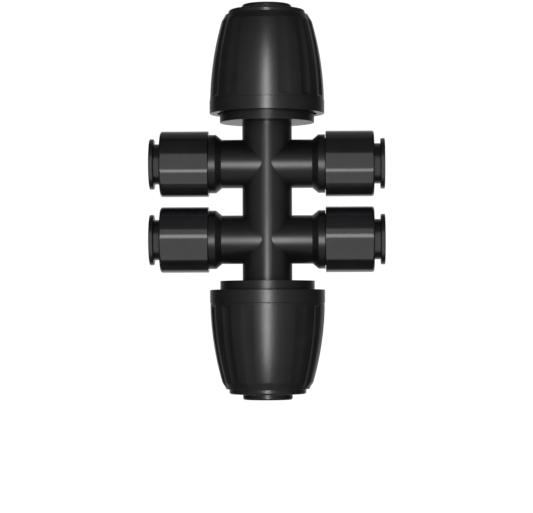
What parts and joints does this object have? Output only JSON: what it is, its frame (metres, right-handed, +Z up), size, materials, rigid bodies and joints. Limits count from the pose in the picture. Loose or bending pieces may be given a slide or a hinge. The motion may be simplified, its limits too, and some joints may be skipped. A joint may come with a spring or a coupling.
{
  "type": "cross fitting",
  "caption": "Double-cross drip irrigation fitting: straight run pipe with fluted lock nuts for 16 mm tubing at its ends and push-in side ports for 1/4 inch tube.",
  "frame": {"origin": "centre of the moulding, on the run's axis, midway between the upper and lower pairs of ports", "axes": "+Z up along the run's axis to the top lock nut, +X along the right-hand ports, -Y towards the viewer"},
  "size_m": [0.0588, 0.0288, 0.0988],
  "materials": {
    "body_plastic": "satin moulded black polypropylene",
    "nut_plastic": "satin moulded black polypropylene",
    "grip_ring_plastic": "natural acetal",
    "cap_plastic": "glossy black acetal",
    "collet_plastic": "semi-gloss black acetal",
    "seal_rubber": "black EPDM",
    "spacer_plastic": "natural acetal",
    "ring_steel": "stainless spring strip"
  },
  "bodies": {
    "fitting_body": {"cross_body": "body_plastic", "upper_left_port_cap": "cap_plastic", "upper_right_port_cap": "cap_plastic", "lower_left_port_cap": "cap_plastic", "lower_right_port_cap": "cap_plastic", "upper_left_o_ring": "seal_rubber", "upper_right_o_ring": "seal_rubber", "lower_left_o_ring": "seal_rubber", "lower_right_o_ring": "seal_rubber", "upper_left_spacer_ring": "spacer_plastic", "upper_right_spacer_ring": "spacer_plastic", "lower_left_spacer_ring": "spacer_plastic", "lower_right_spacer_ring": "spacer_plastic", "upper_left_grab_ring": "ring_steel", "upper_right_grab_ring": "ring_steel", "lower_left_grab_ring": "ring_steel", "lower_right_grab_ring": "ring_steel"},
    "top_grip_carrier": {"top_grip_ring": "grip_ring_plastic"},
    "bottom_grip_carrier": {"bottom_grip_ring": "grip_ring_plastic"},
    "top_nut": {"top_lock_nut": "nut_plastic"},
    "bottom_nut": {"bottom_lock_nut": "nut_plastic"},
    "upper_left_collet": {"upper_left_release_collet": "collet_plastic"},
    "upper_right_collet": {"upper_right_release_collet": "collet_plastic"},
    "lower_left_collet": {"lower_left_release_collet": "collet_plastic"},
    "lower_right_collet": {"lower_right_release_collet": "collet_plastic"}
  },
  "joints": [
    {"name": "top_nut_travel", "type": "slide", "parent": "fitting_body", "child": "top_grip_carrier", "axis": [0, 0, 1], "range_m": [0, 0.00625]},
    {"name": "top_nut_turn", "type": "hinge", "parent": "top_grip_carrier", "child": "top_nut", "pos_m": [0, 0, 0.035], "axis": [0, 0, 1], "range_deg": [0, 900]},
    {"name": "bottom_nut_travel", "type": "slide", "parent": "fitting_body", "child": "bottom_grip_carrier", "axis": [0, 0, -1], "range_m": [0, 0.00625]},
    {"name": "bottom_nut_turn", "type": "hinge", "parent": "bottom_grip_carrier", "child": "bottom_nut", "pos_m": [0, 0, -0.035], "axis": [0, 0, -1], "range_deg": [0, 900]},
    {"name": "upper_left_collet_press", "type": "slide", "parent": "fitting_body", "child": "upper_left_collet", "axis": [1, 0, 0], "range_m": [0, 0.0012], "stiffness_N_per_m": 200},
    {"name": "upper_right_collet_press", "type": "slide", "parent": "fitting_body", "child": "upper_right_collet", "axis": [-1, 0, 0], "range_m": [0, 0.0012], "stiffness_N_per_m": 200},
    {"name": "lower_left_collet_press", "type": "slide", "parent": "fitting_body", "child": "lower_left_collet", "axis": [1, 0, 0], "range_m": [0, 0.0012], "stiffness_N_per_m": 200},
    {"name": "lower_right_collet_press", "type": "slide", "parent": "fitting_body", "child": "lower_right_collet", "axis": [-1, 0, 0], "range_m": [0, 0.0012], "stiffness_N_per_m": 200}
  ],
  "couplings": [
    {"joint": "top_nut_turn", "follows": "top_nut_travel", "rad_per_m": 2513.3},
    {"joint": "bottom_nut_turn", "follows": "bottom_nut_travel", "rad_per_m": 2513.3}
  ]
}
